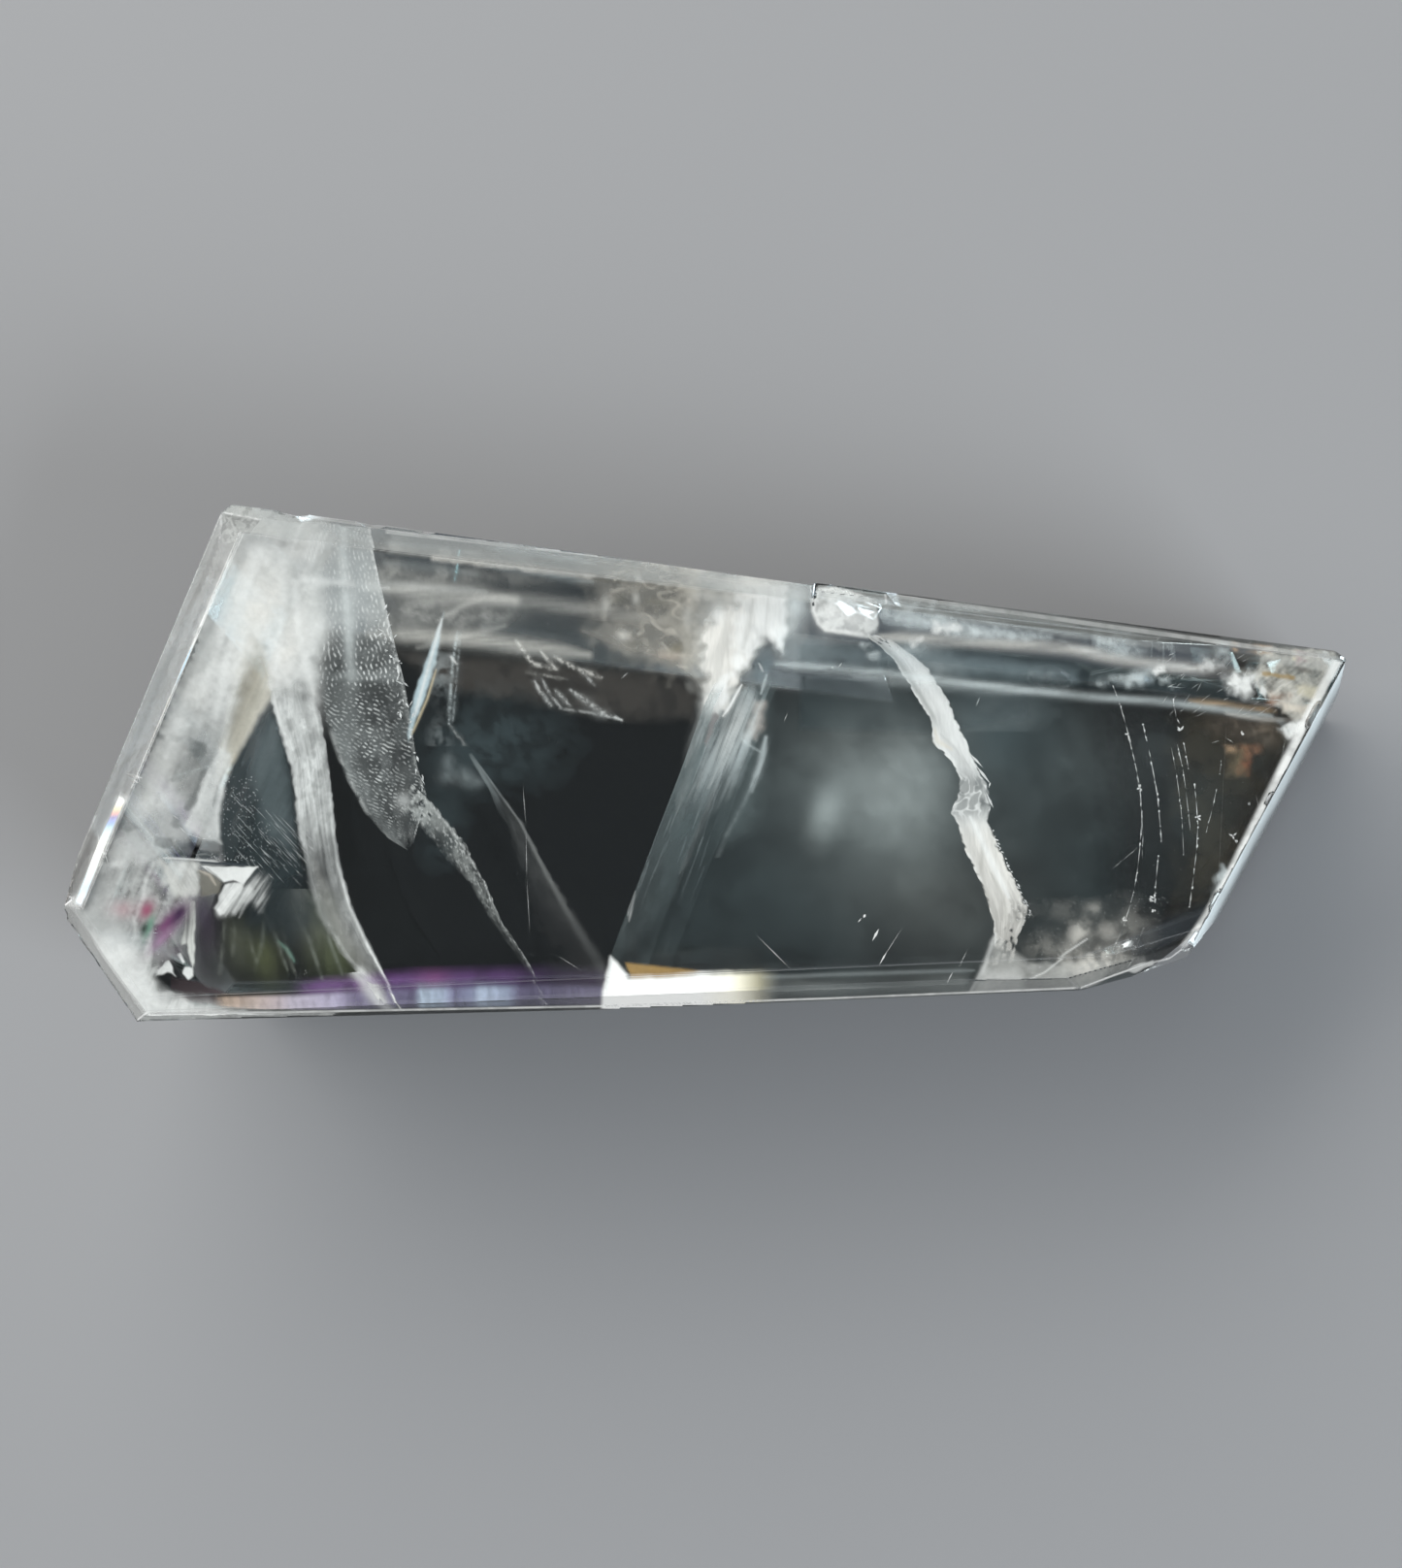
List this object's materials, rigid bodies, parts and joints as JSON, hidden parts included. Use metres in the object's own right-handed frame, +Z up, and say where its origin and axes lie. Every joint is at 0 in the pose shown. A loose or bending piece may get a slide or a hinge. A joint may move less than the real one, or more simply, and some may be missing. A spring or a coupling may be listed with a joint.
{
  "type": "optical calcite freeform",
  "caption": "Clear polished block of optical calcite with leaning cleavage ends, ground edge facets and white inner veils; a loose mineral specimen to display or hold.",
  "frame": {"origin": "centre of the bounding box in plan, on the foot face that the block rests on", "axes": "+X along the front wall from the broad left end to the narrow right end, +Y from the front wall to the back wall, +Z up through the thickness"},
  "size_m": [0.1248, 0.048, 0.0269],
  "materials": {
    "clear_calcite": "polished",
    "fracture_veil": "frosted"
  },
  "bodies": {
    "root": {"crystal": "clear_calcite"}
  },
  "joints": []
}
